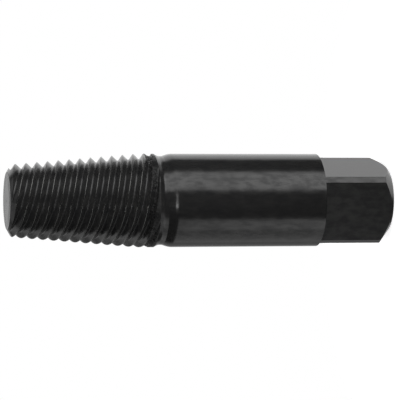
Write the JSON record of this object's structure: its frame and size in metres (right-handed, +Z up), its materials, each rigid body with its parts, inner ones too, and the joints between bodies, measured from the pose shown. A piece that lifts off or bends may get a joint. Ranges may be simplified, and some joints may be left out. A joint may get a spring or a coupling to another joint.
{
  "type": "screw extractor",
  "caption": "Tapered screw extractor with left-hand spiral ridges, an undercut neck, a plain round shank and a square drive end, in black-finished steel.",
  "frame": {"origin": "centre of the flat end face of the square drive, on which the tool stands", "axes": "+Z up the tool's axis to its small fluted tip, X and Y square to the drive's flats"},
  "size_m": [0.0264, 0.0264, 0.11],
  "materials": {
    "black_steel": "satin black oxide on turned and milled tool steel"
  },
  "bodies": {
    "root": {"screw_extractor": "black_steel"}
  },
  "joints": []
}
